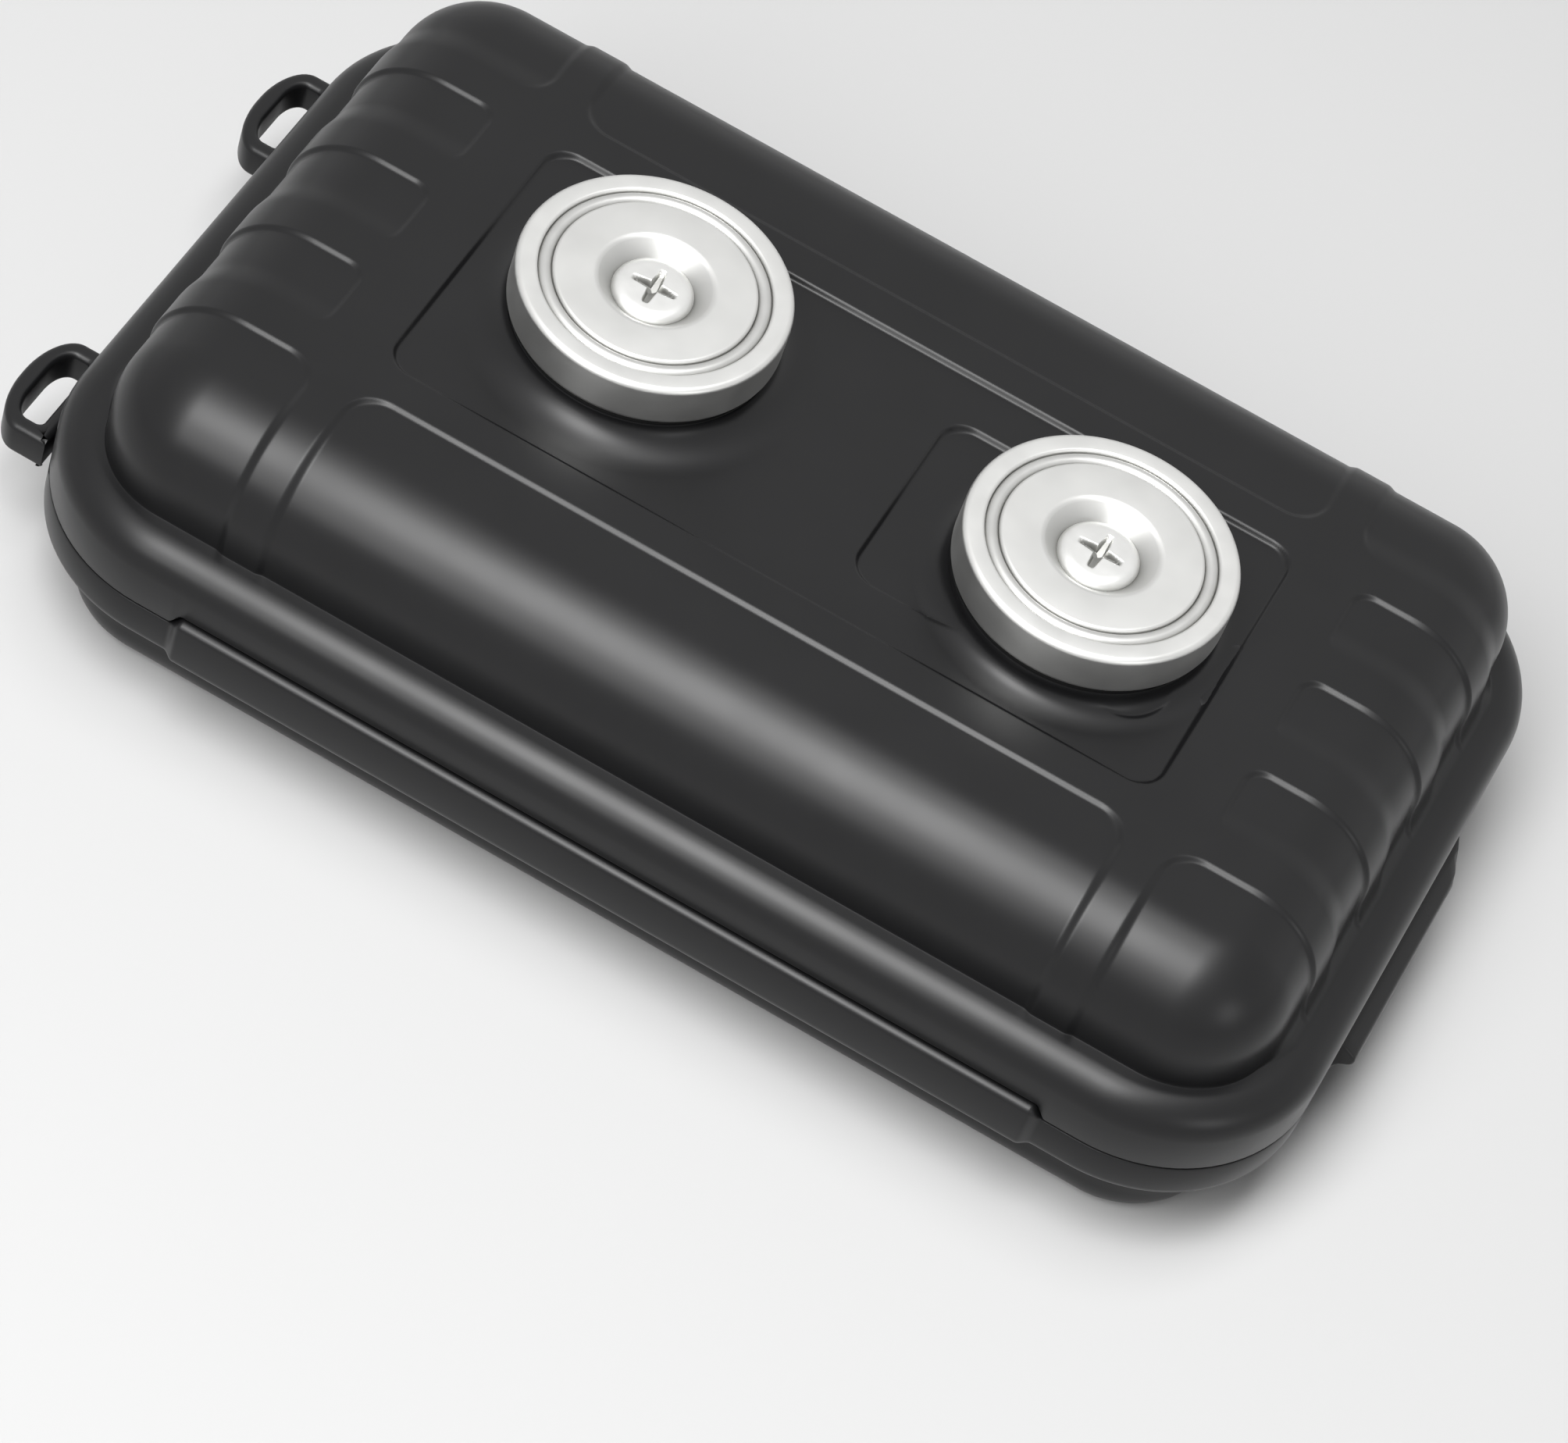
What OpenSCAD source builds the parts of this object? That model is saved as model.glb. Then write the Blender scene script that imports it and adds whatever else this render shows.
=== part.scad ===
// Magnetic key holder box: a hinged moulded case with a gasket, a flip latch,
// two lanyard loops and two screwed pot magnets on its lid.
// Origin: centre of the flat bottom face. +X runs to the latch end, +Z up.

/* [Case] */
// Length of the case body between its end walls
body_l = 116; // [100:1:145]
// Width of the case body between its side walls
body_w = 67.6; // [62:0.2:90]
// Plan radius of the body corners
body_r = 9.5; // [8:0.5:13]
// Height of the base, from the bottom face to the seam
base_h = 14; // [13.5:0.5:30]
// Height of the lid, from the seam to its top
lid_h = 19.5; // [17.5:0.5:30]
// Wall thickness of both shells
wall = 2.6; // [2.4:0.1:3.2]
// Radius of the rolled edge round the top of the lid
top_edge_r = 8.5; // [5:0.5:11]
// Radius of the edge round the bottom of the base
bottom_edge_r = 4.5; // [3:0.5:8]

/* [Flange] */
// How far the flanges stand out from the end walls
flange_end = 4.5; // [4.2:0.1:6]
// How far the flanges stand out from the side walls
flange_side = 3.7; // [3.2:0.1:5]
// Plan radius of the flange corners
flange_r = 15.5; // [12:0.5:17]
// Height of the lid's flange
lid_flange_h = 7.3; // [6:0.1:8]
// Radius of the lid flange's outer edge
flange_edge_r = 3.2; // [1.5:0.1:3.6]
// Height of the base's flange
base_flange_h = 4.5; // [4:0.1:6]
// Radius of the base flange's lower edge
base_flange_edge_r = 1.2; // [0.5:0.1:2.5]
// Gap between the rims at the seam
seam_gap = 0.1; // [0.05:0.05:0.3]

/* [Side rails] */
// Length of the rail that locates the lid along each side
rail_l = 87; // [60:1:92]
// Height of the rail above the seam
rail_rise = 1.3; // [0.8:0.1:2]
// Width of the rail
rail_w = 1.5; // [1:0.1:2]
// How far the rail stands out from the flange
rail_proud = 0.75; // [0.2:0.05:1]
// Gap between a rail and the lid
rail_gap = 0.2; // [0.1:0.05:0.4]

/* [Relief] */
// Depth of the flutes, corner lobes and side panels
relief_depth = 0.4; // [0.3:0.1:1.2]
// Width of the raised ribs
rib_w = 4; // [2.5:0.5:5]
// Pitch of the end ribs
rib_pitch = 12; // [8:0.5:14]
// Number of ribs over each end
rib_count = 4; // [2:1:4]
// Distance from an end wall to the inner ends of its flutes
flute_l = 13.8; // [10:0.1:18]
// Radius of the flutes' inner corners
flute_r = 1.8; // [0.5:0.1:3]
// Length of the side panels
side_panel_l = 76; // [60:1:80]
// Radius of the side panels' inner corners
side_panel_r = 3.2; // [1:0.1:5]
// Length of the shallow panel under both magnets
centre_panel_l = 76; // [60:1:80]
// Width of the shallow panel under both magnets
centre_panel_w = 32; // [28:1:34]
// Depth of each step of the shallow panels
panel_step = 0.45; // [0.2:0.05:0.6]
// Length of the deeper panel round the right magnet
right_panel_l = 29.5; // [27:0.5:34]
// Width of the deeper panel round the right magnet
right_panel_w = 21.5; // [18:0.5:27]
// Radius of the panels' corners
panel_r = 2.6; // [1:0.1:4]

/* [Seal] */
// Width of the gasket and its groove
gasket_w = 1.4; // [1:0.1:1.5]
// Height of the gasket
gasket_h = 1; // [0.8:0.1:1.4]
// Depth of the gasket's groove
groove_depth = 1.5; // [1.2:0.1:2]
// Distance from the outer wall to the gasket's centre line
gasket_inset = 1.3; // [1.1:0.05:1.5]
// Width of the lid's ridge over the gasket
ridge_w = 0.7; // [0.5:0.1:0.8]
// Gap between the ridge and the gasket, with the lid shut
ridge_gap = 0.05; // [0.02:0.01:0.1]

/* [Hinge] */
// Diameter of the hinge pin and of the latch pin
pin_d = 2; // [1.6:0.1:2.2]
// Outer diameter of the hinge knuckles
knuckle_d = 3.6; // [3.4:0.1:3.8]
// Height of the hinge axis above the seam
hinge_rise = 2.4; // [2.2:0.1:2.6]
// Length of the hinge over its five knuckles
hinge_l = 26; // [20:1:34]
// Length of the middle knuckle
middle_knuckle_l = 5.2; // [4:0.2:7]
// Gap between neighbouring knuckles
knuckle_gap = 0.2; // [0.1:0.05:0.4]
// Gap round a knuckle of the other shell
knuckle_room = 0.3; // [0.2:0.05:0.5]
// Clearance of a pin in the bores that turn on it
pin_clear = 0.05; // [0.02:0.01:0.1]
// Clearance of a pin in the bores that hold it
pin_seat = 0.01; // [0.01:0.01:0.03]
// Depth of the relief under the lid's hinge edge, below the seam
hinge_relief = 0.9; // [0.9:0.1:2]

/* [Latch] */
// Length of the latch lever along the case
lever_l = 28; // [18:1:34]
// Gap at each end of the lever
lever_gap = 0.3; // [0.2:0.05:0.6]
// Distance of the latch pin from the end wall
latch_pin_out = 2.7; // [2.4:0.1:3]
// Drop of the latch pin below the seam
latch_pin_drop = 5.4; // [5.2:0.1:6.5]
// Outer diameter of the lever's barrel and the lugs
barrel_d = 3.4; // [3:0.1:3.6]
// Length of each lug beside the lever
lug_l = 3; // [2:0.2:5]
// How far the finger lip stands out from the end wall
lip_out = 6.2; // [5.8:0.1:7]
// Length of the lip's slanted end
lip_slant_l = 4.6; // [2:0.2:6]
// Depth of the lip's slanted end
lip_slant_w = 1.7; // [0.5:0.1:1.7]
// Thickness of the lid's tongue behind the lever
tongue_t = 1.2; // [1:0.1:1.4]
// Distance from the end wall to the tongue
tongue_out = 1.2; // [1:0.1:1.4]
// Length of the tongue along the case
tongue_l = 22; // [12:1:24]
// How far the tongue hangs below the seam
tongue_drop = 3; // [2.6:0.1:3.2]
// How far the barb stands out from the tongue
barb_out = 0.6; // [0.4:0.05:0.7]
// Gap between the hook and the barb
hook_gap = 0.15; // [0.1:0.05:0.3]

/* [Lanyard loops] */
// Distance between the middles of the loops
loop_spacing = 42; // [36:1:46]
// Width of a loop
loop_w = 12.2; // [11.8:0.2:17]
// How far a loop stands out from the flange
loop_out = 6; // [5:0.1:10]
// Thickness of a loop
loop_t = 3.5; // [3:0.1:4.4]
// Drop of the loops' upper face below the seam
loop_drop = 0.1; // [0.1:0.1:1]
// Radius of a loop's outer corners
loop_r = 5.8; // [2:0.1:5.8]
// Wall round a loop's eye
loop_wall = 1.75; // [1.5:0.05:2]
// Width of the eye out from the case
eye_w = 2.9; // [2.8:0.1:4.2]
// Length of the eye
eye_l = 8.7; // [6:0.1:8.8]
// Radius of the eye's outer corners
eye_r = 2.8; // [1:0.1:2.8]

/* [Magnets] */
// Diameter of the pot magnets
magnet_d = 25; // [20:1:27]
// Height of the pot magnets
magnet_h = 4.5; // [4:0.1:6]
// Distance between the magnets' centres
magnet_spacing = 45.4; // [38:0.2:50]
// Middle of the magnet pair, along the case
magnet_mid_x = 1.05; // [-3:0.05:3]
// Middle of the magnet pair, across the case
magnet_mid_y = 0.45; // [-2:0.05:2]
// Turn of the magnet pair's line, in degrees
magnet_turn = -2.1; // [-4:0.1:4]
// Height of the cups' undersides above the lid's top
standoff_h = 2.3; // [1.5:0.1:4]
// Thickness of the rubber pad under each cup
pad_t = 0.5; // [0.3:0.1:1]
// Diameter of the moulded boss under each pad
boss_d = 24.4; // [18:0.2:26]
// Radius of the flare at a boss's foot
boss_flare_r = 2.4; // [0.5:0.1:2.6]
// Thickness of a cup's wall
cup_wall = 2; // [1:0.1:2.5]
// Thickness of a cup's floor
cup_floor = 1.2; // [0.8:0.1:2]
// Width of the filler ring between cup and magnet
filler_w = 1.3; // [0.6:0.1:2]
// Gap on each side of the filler ring
filler_gap = 0.02; // [0.01:0.01:0.05]
// Chamfer along the filler ring's grooves
face_chamfer = 0.3; // [0.1:0.05:0.5]
// Diameter of the countersink at the magnet's face
countersink_d = 10.6; // [9:0.1:13]

/* [Screws] */
// Thread diameter of the screws
screw_d = 4; // [3:0.5:4]
// Diameter of the countersunk heads
screw_head_d = 7.45; // [6.5:0.05:9]
// Length of the screws, over their heads
screw_l = 14; // [13:1:20]
// Width of the cross recess in the heads
cross_w = 0.9; // [0.6:0.1:1.2]
// Depth of the cross recess
cross_depth = 1.1; // [0.5:0.1:1.6]
// Clearance round the screws in their holes
screw_clear = 0.2; // [0.1:0.05:0.4]
// Diameter of the washers inside the lid
washer_d = 9; // [8:0.5:12]
// Thickness of the washers
washer_t = 0.8; // [0.5:0.1:1.2]
// Width across flats of the nuts
nut_af = 7; // [5.5:0.5:8]
// Height of the nuts
nut_h = 3.2; // [2.2:0.1:4]

/* [Hidden] */
$fn = 64;

// Extra length on tools that cut right through, and on roots sunk into a shell
cut = 1;
root = 1;
// Least radius left inside a rolled edge
least_r = 0.5;
case_h = base_h + lid_h;
half_l = body_l / 2;
half_w = body_w / 2;
inner_r = body_r - wall;
// A rolled edge can't be wider than the corner it runs round
lid_edge_r = min(top_edge_r, body_r - least_r);
base_edge_r = min(bottom_edge_r, body_r - least_r);
flange_l = body_l + 2 * flange_end;
flange_w = body_w + 2 * flange_side;
rim_z = base_h - seam_gap;

// The knuckles stay just inside the flange's end
knuckle_back = 0.1;
hinge_x = -half_l - flange_end + knuckle_d / 2 + knuckle_back;
hinge_z = base_h + hinge_rise;
// The lid's two knuckles are a little longer than the base's outer ones
lid_knuckle_l = (hinge_l - middle_knuckle_l) / 4 + 3 * knuckle_gap;
outer_knuckle_y = middle_knuckle_l / 2 + 2 * knuckle_gap + lid_knuckle_l;
// Half width of the strip of lid flange that swings below the seam, outside the hinge axis
swing_depth = flange_l / 2 + hinge_x;
swing_half_w = flange_w / 2 - flange_r + sqrt(pow(flange_r, 2) - pow(flange_r - swing_depth, 2));

latch_x = half_l + latch_pin_out;
latch_z = base_h - latch_pin_drop;
notch_l = lever_l + 2 * lever_gap;
// Height of the barb, and its lead-in slope
barb_h = 0.8;
barb_lead = 0.3;
barb_z = base_h - tongue_drop;
tongue_x = half_l + tongue_out;
barb_tip_x = tongue_x + tongue_t + barb_out;
hook_z = barb_z + barb_h + hook_gap;
// The lever's section: gap behind its plate, play of the hook over the tongue, heights of its bends
plate_gap = 0.3;
hook_play = 0.25;
hook_h = 0.7;
lever_top_gap = 0.3;
lever_stand = 0.2;
lip_low = 3.2;
lip_high = 0.9;
shin_h = 2.2;

rib_span = (rib_count - 1) * rib_pitch + rib_w;
side_panel_y = rib_span / 2;
lobe_extra = 2.2;
lobe_l = flute_l + lobe_extra;
ridge_drop = seam_gap + groove_depth - gasket_h - ridge_gap;

magnet_x = magnet_spacing / 2;
cup_z = case_h + standoff_h;
face_z = cup_z + magnet_h;
boss_top_z = cup_z - pad_t;
cup_r = magnet_d / 2;
pocket_r = cup_r - cup_wall;
ring_r = pocket_r - filler_w;
head_r = screw_head_d / 2;
head_z = face_z - (countersink_d / 2 - head_r) + filler_gap;
roof_z = case_h - wall;
// The deeper panel's middle, towards the case's middle from the right magnet
right_panel_shift = 3.4;
// Rounding of a cup's edges, and drop of the filler ring below its rim
cup_edge_r = 0.6;
filler_drop = 0.05;
// Margin of a rubber pad inside its boss
pad_margin = 0.2;
// Chamfer at a screw's tip, and reach of its cross recess as a share of the head
tip_chamfer = 0.3;
cross_share = 0.6;

// Quarter of a disc, in the corner between +X and +Y
module quarter_disc(r) {
    intersection() {
        circle(r);
        square(r);
    }
}

// Strip from x = 0 to "reach", "h" high, with its outer top edge rounded
module edge_section(reach, h, r) {
    square([reach, h - r]);
    translate([0, h - r])
        square([reach - r, r]);
    translate([reach - r, h - r])
        quarter_disc(r);
}

// Rectangle with round corners, centred
module round_rect(l, w, r) {
    square([l - 2 * r, w], center = true);
    square([l, w - 2 * r], center = true);
    for (end = [0, 1], side = [0, 1])
        mirror([end, 0])
            mirror([0, side])
                translate([l / 2 - r, w / 2 - r])
                    quarter_disc(r);
}

// Block standing on z = 0 with round corners in plan and a rounded top edge
module rolled_block(l, w, h, corner_r, edge_r) {
    for (side = [0, 1])
        mirror([0, side, 0])
            rotate([90, 0, 90])
                linear_extrude(l - 2 * corner_r, center = true)
                    edge_section(w / 2, h, edge_r);
    for (end = [0, 1])
        mirror([end, 0, 0])
            translate([l / 2 - corner_r, 0, 0])
                rotate([90, 0, 0])
                    linear_extrude(w - 2 * corner_r, center = true)
                        edge_section(corner_r, h, edge_r);
    for (end = [0, 1], side = [0, 1])
        mirror([end, 0, 0])
            mirror([0, side, 0])
                translate([l / 2 - corner_r, w / 2 - corner_r, 0])
                    rotate_extrude(angle = 90)
                        edge_section(corner_r, h, edge_r);
}

// Ring of constant width that follows the case wall, "inset" inside it
module wall_ring(inset, w, h) {
    mid_l = body_l - 2 * inset;
    mid_w = body_w - 2 * inset;
    mid_r = body_r - inset;
    difference() {
        linear_extrude(h)
            round_rect(mid_l + w, mid_w + w, mid_r + w / 2);
        translate([0, 0, -cut])
            linear_extrude(h + 2 * cut)
                round_rect(mid_l - w, mid_w - w, mid_r - w / 2);
    }
}

// Cylinder along Y on the hinge axis, from y0 to y1
module hinge_bar(r, y0, y1) {
    translate([hinge_x, y1, hinge_z])
        rotate([90, 0, 0])
            cylinder(r = r, h = y1 - y0);
}

// Cylinder along Y on the latch axis, centred
module latch_bar(r, l) {
    translate([latch_x, 0, latch_z])
        rotate([90, 0, 0])
            cylinder(r = r, h = l, center = true);
}

// Moulded form of the inside of both shells, "h" high with its rounded edge up
module cavity(h, edge_r) {
    rolled_block(body_l - 2 * wall, body_w - 2 * wall, h, inner_r, edge_r);
}

// ---- base ----

// One lanyard loop with its D-shaped eye, in plan
module loop_plan() {
    reach = flange_end + loop_out;
    difference() {
        union() {
            translate([-reach + loop_r, -loop_w / 2])
                square([reach - loop_r + wall / 2, loop_w]);
            translate([-reach, -loop_w / 2 + loop_r])
                square([loop_r, loop_w - 2 * loop_r]);
            for (side = [0, 1])
                mirror([0, side])
                    translate([-reach + loop_r, loop_w / 2 - loop_r])
                        mirror([1, 0])
                            quarter_disc(loop_r);
        }
        translate([-reach + loop_wall, 0]) {
            translate([eye_r, -eye_l / 2])
                square([eye_w - eye_r, eye_l]);
            translate([0, -eye_l / 2 + eye_r])
                square([eye_r, eye_l - 2 * eye_r]);
            for (side = [0, 1])
                mirror([0, side])
                    translate([eye_r, eye_l / 2 - eye_r])
                        mirror([1, 0])
                            quarter_disc(eye_r);
        }
    }
}

module loops() {
    for (side = [-1, 1])
        translate([-half_l, side * loop_spacing / 2, base_h - loop_drop - loop_t])
            linear_extrude(loop_t)
                loop_plan();
}

// Rail along both sides that the lid's flange drops inside of
module side_rails() {
    for (side = [0, 1])
        mirror([0, side, 0])
            translate([-rail_l / 2, flange_w / 2 + rail_proud - rail_w, base_h - base_flange_h])
                cube([rail_l, rail_w, base_flange_h + rail_rise - seam_gap]);
}

// Knuckles moulded on the base: one in the middle and one at each end, on stems from the flange
module base_knuckles() {
    for (span = [
            [-hinge_l / 2, -outer_knuckle_y],
            [-middle_knuckle_l / 2, middle_knuckle_l / 2],
            [outer_knuckle_y, hinge_l / 2]
        ]) {
        hinge_bar(knuckle_d / 2, span[0], span[1]);
        translate([hinge_x, span[0], base_h - base_flange_h]) {
            cube([-half_l - hinge_x, span[1] - span[0], base_flange_h - seam_gap]);
            cube([knuckle_d / 2, span[1] - span[0], base_flange_h + hinge_rise]);
        }
    }
}

// Lugs under the flange that hold the latch pin
module latch_lugs() {
    for (side = [0, 1])
        mirror([0, side, 0])
            translate([0, notch_l / 2 + lug_l, 0])
                rotate([90, 0, 0])
                    linear_extrude(lug_l) {
                        translate([latch_x, latch_z])
                            circle(d = barrel_d);
                        translate([half_l - wall / 2, latch_z])
                            square([latch_pin_out + wall / 2 + barrel_d / 2, base_h - root - latch_z]);
                        translate([half_l - wall / 2, latch_z - barrel_d / 2])
                            square([latch_pin_out + wall / 2, barrel_d / 2]);
                    }
}

module base_form() {
    translate([0, 0, rim_z])
        mirror([0, 0, 1]) {
            rolled_block(body_l, body_w, rim_z, body_r, base_edge_r);
            rolled_block(flange_l, flange_w, base_flange_h - seam_gap, flange_r, base_flange_edge_r);
        }
}

module base_shell() {
    color([0.09, 0.09, 0.095])
        difference() {
            union() {
                difference() {
                    union() {
                        base_form();
                        side_rails();
                        loops();
                    }
                    // Room for the lid's flange to swing down at the hinge
                    translate([
                        -half_l - flange_end - knuckle_room,
                        -swing_half_w - knuckle_room,
                        base_h - hinge_relief
                    ])
                        cube([
                            flange_end + knuckle_room,
                            2 * (swing_half_w + knuckle_room),
                            hinge_relief + cut
                        ]);
                    // Notch for the latch lever
                    translate([half_l, -notch_l / 2, base_h - base_flange_h - cut])
                        cube([flange_end + cut, notch_l, base_flange_h + 2 * cut]);
                }
                base_knuckles();
                latch_lugs();
            }
            translate([0, 0, rim_z + wall])
                mirror([0, 0, 1])
                    cavity(rim_z, max(base_edge_r - wall, least_r));
            translate([0, 0, rim_z - groove_depth])
                wall_ring(gasket_inset, gasket_w, groove_depth + cut);
            hinge_bar(pin_d / 2 + pin_seat, -hinge_l / 2 - cut, hinge_l / 2 + cut);
            latch_bar(pin_d / 2 + pin_seat, notch_l + 2 * lug_l + cut);
        }
}

module rim_gasket() {
    color([0.03, 0.03, 0.03])
        translate([0, 0, rim_z - groove_depth])
            wall_ring(gasket_inset, gasket_w, gasket_h);
}

module hinge_pin() {
    color([0.75, 0.75, 0.76])
        hinge_bar(pin_d / 2, -hinge_l / 2, hinge_l / 2);
}

module latch_pin() {
    color([0.75, 0.75, 0.76])
        latch_bar(pin_d / 2, notch_l + 2 * lug_l);
}

// ---- latch ----

// Section of the lever: barrel, plate, finger lip and hook
module lever_section() {
    plate_x = barb_tip_x + plate_gap;
    top_z = base_h - lever_top_gap;
    outer_x = half_l + flange_end + lever_stand;
    lip_x = half_l + lip_out;
    hook_x = barb_tip_x - barb_out + hook_play;
    translate([latch_x, latch_z])
        circle(d = barrel_d);
    polygon([
        [latch_x, latch_z],
        [latch_x + barrel_d / 2, latch_z],
        [outer_x, latch_z + shin_h],
        [lip_x, latch_z + lip_low],
        [lip_x, top_z - lip_high],
        [outer_x, top_z],
        [plate_x, top_z],
        [hook_x, hook_z + hook_h],
        [hook_x, hook_z],
        [plate_x, hook_z],
        [plate_x, latch_z + shin_h],
        [latch_x, latch_z + barrel_d / 2]
    ]);
}

module latch_lever() {
    lip_x = half_l + lip_out;
    end_y = lever_l / 2;
    color([0.09, 0.09, 0.095])
        difference() {
            translate([0, end_y, 0])
                rotate([90, 0, 0])
                    linear_extrude(lever_l)
                        lever_section();
            latch_bar(pin_d / 2 + pin_clear, lever_l + cut);
            // Slant at one end of the finger lip
            translate([0, 0, latch_z + shin_h])
                linear_extrude(latch_pin_drop)
                    polygon([
                        [lip_x, end_y - lip_slant_l],
                        [lip_x + cut, end_y - lip_slant_l],
                        [lip_x + cut, end_y + cut],
                        [lip_x - lip_slant_w, end_y + cut],
                        [lip_x - lip_slant_w, end_y]
                    ]);
        }
}

// ---- lid ----

// Flutes, corner lobes and side panels of the lid, in plan
module relief_plan() {
    for (end = [0, 1])
        mirror([end, 0]) {
            for (i = [0 : rib_count - 2])
                translate([half_l - flute_l + body_l / 2, (i - (rib_count - 2) / 2) * rib_pitch])
                    round_rect(body_l, rib_pitch - rib_w, flute_r);
            for (side = [0, 1])
                mirror([0, side])
                    translate([half_l - lobe_l + body_l / 2, side_panel_y + body_w / 2])
                        round_rect(body_l, body_w, side_panel_r);
        }
    for (side = [0, 1])
        mirror([0, side])
            translate([0, side_panel_y + body_w / 2])
                round_rect(side_panel_l, body_w, side_panel_r);
}

// Outside of the lid: the body at recess level with the raised ground and ribs on it
module lid_form() {
    d = relief_depth;
    rolled_block(body_l - 2 * d, body_w - 2 * d, lid_h - d, body_r - d, lid_edge_r - d);
    difference() {
        rolled_block(body_l, body_w, lid_h, body_r, lid_edge_r);
        translate([0, 0, -cut])
            linear_extrude(lid_h + 2 * cut)
                relief_plan();
    }
}

// Shallow panels that the magnets stand in
module panel_cuts() {
    translate([0, 0, lid_h - panel_step])
        linear_extrude(cut + panel_step)
            round_rect(centre_panel_l, centre_panel_w, panel_r);
    translate([magnet_mid_x - right_panel_shift + magnet_x, 0, lid_h - 2 * panel_step])
        linear_extrude(cut + 2 * panel_step)
            round_rect(right_panel_l, right_panel_w, panel_r);
}

// Puts a piece at one magnet's place: side is -1 for the left one, 1 for the right one
module at_magnet(side) {
    translate([magnet_mid_x, magnet_mid_y, 0])
        rotate(magnet_turn)
            translate([side * magnet_x, 0, 0])
                children();
}

// Moulded boss under a magnet, with a flared foot
module boss() {
    r = boss_d / 2;
    foot_z = case_h - 2 * panel_step;
    f = boss_flare_r;
    rotate_extrude() {
        translate([0, roof_z])
            square([r, boss_top_z - roof_z]);
        difference() {
            translate([0, foot_z])
                square([r + f, f]);
            translate([r + f, foot_z + f])
                circle(f);
        }
    }
}

module lid_knuckles() {
    for (side = [0, 1])
        mirror([0, side, 0]) {
            start = middle_knuckle_l / 2 + knuckle_gap;
            hinge_bar(knuckle_d / 2, start, start + lid_knuckle_l);
        }
}

// Tongue with the barb that the lever's hook holds down
module lid_tongue() {
    translate([0, tongue_l / 2, 0])
        rotate([90, 0, 0])
            linear_extrude(tongue_l)
                polygon([
                    [tongue_x, barb_z],
                    [tongue_x + tongue_t, barb_z],
                    [barb_tip_x, barb_z + barb_lead],
                    [barb_tip_x, barb_z + barb_h],
                    [tongue_x + tongue_t, barb_z + barb_h],
                    [tongue_x + tongue_t, base_h + root],
                    [tongue_x, base_h + root]
                ]);
}

module lid_shell() {
    color([0.09, 0.09, 0.095])
        difference() {
            union() {
                translate([0, 0, base_h]) {
                    difference() {
                        lid_form();
                        panel_cuts();
                    }
                    rolled_block(flange_l, flange_w, lid_flange_h, flange_r, flange_edge_r);
                }
                for (side = [-1, 1])
                    at_magnet(side)
                        boss();
                translate([0, 0, base_h - ridge_drop])
                    wall_ring(gasket_inset, ridge_w, ridge_drop + root);
                lid_knuckles();
                lid_tongue();
            }
            translate([0, 0, base_h - wall])
                cavity(roof_z - base_h + wall, max(lid_edge_r - wall, least_r));
            // Steps along both sides for the base's rails
            for (side = [0, 1])
                mirror([0, side, 0])
                    translate([
                        -rail_l / 2 - rail_gap,
                        flange_w / 2 + rail_proud - rail_w - rail_gap,
                        base_h - cut
                    ])
                        cube([rail_l + 2 * rail_gap, rail_w + cut, rail_rise + rail_gap + cut]);
            // Room for the base's knuckles
            for (span = [
                    [-hinge_l / 2 - knuckle_gap, -outer_knuckle_y + knuckle_gap],
                    [-middle_knuckle_l / 2 - knuckle_gap, middle_knuckle_l / 2 + knuckle_gap],
                    [outer_knuckle_y - knuckle_gap, hinge_l / 2 + knuckle_gap]
                ]) {
                hinge_bar(knuckle_d / 2 + knuckle_room, span[0], span[1]);
                translate([-half_l - flange_end - cut, span[0], base_h - cut])
                    cube([
                        hinge_x + half_l + flange_end + cut + knuckle_d / 2 + knuckle_room,
                        span[1] - span[0],
                        hinge_rise + cut
                    ]);
            }
            hinge_bar(pin_d / 2 + pin_clear, -hinge_l / 2, hinge_l / 2);
            for (side = [-1, 1])
                at_magnet(side)
                    translate([0, 0, roof_z - cut])
                        cylinder(d = screw_d + 2 * screw_clear, h = boss_top_z - roof_z + 2 * cut);
        }
}

// ---- magnets ----

// Drawn steel cup with a rounded outside, a pocket and a screw hole
module magnet_cup() {
    rotate_extrude()
        difference() {
            union() {
                translate([0, magnet_h / 2])
                    edge_section(cup_r, magnet_h / 2, cup_edge_r);
                translate([0, magnet_h / 2])
                    mirror([0, 1])
                        edge_section(cup_r, magnet_h / 2, cup_edge_r);
            }
            translate([0, -cut])
                square([screw_d / 2 + screw_clear, magnet_h + 2 * cut]);
            translate([0, cup_floor])
                square([pocket_r, magnet_h]);
        }
}

// Ring between the cup's wall and the magnet, chamfered along both its grooves
module filler_ring() {
    inner = ring_r + filler_gap;
    outer = pocket_r - filler_gap;
    top = magnet_h - filler_drop;
    rotate_extrude()
        polygon([
            [inner, cup_floor],
            [outer, cup_floor],
            [outer, top - face_chamfer],
            [outer - face_chamfer, top],
            [inner + face_chamfer, top],
            [inner, top - face_chamfer]
        ]);
}

// Countersunk magnet ring
module magnet_ring() {
    hole_r = screw_d / 2 + screw_clear;
    sink = countersink_d / 2 - hole_r;
    rotate_extrude()
        polygon([
            [hole_r, cup_floor],
            [ring_r, cup_floor],
            [ring_r, magnet_h - face_chamfer],
            [ring_r - face_chamfer, magnet_h],
            [countersink_d / 2, magnet_h],
            [hole_r, max(magnet_h - sink, cup_floor + filler_drop)]
        ]);
}

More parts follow.
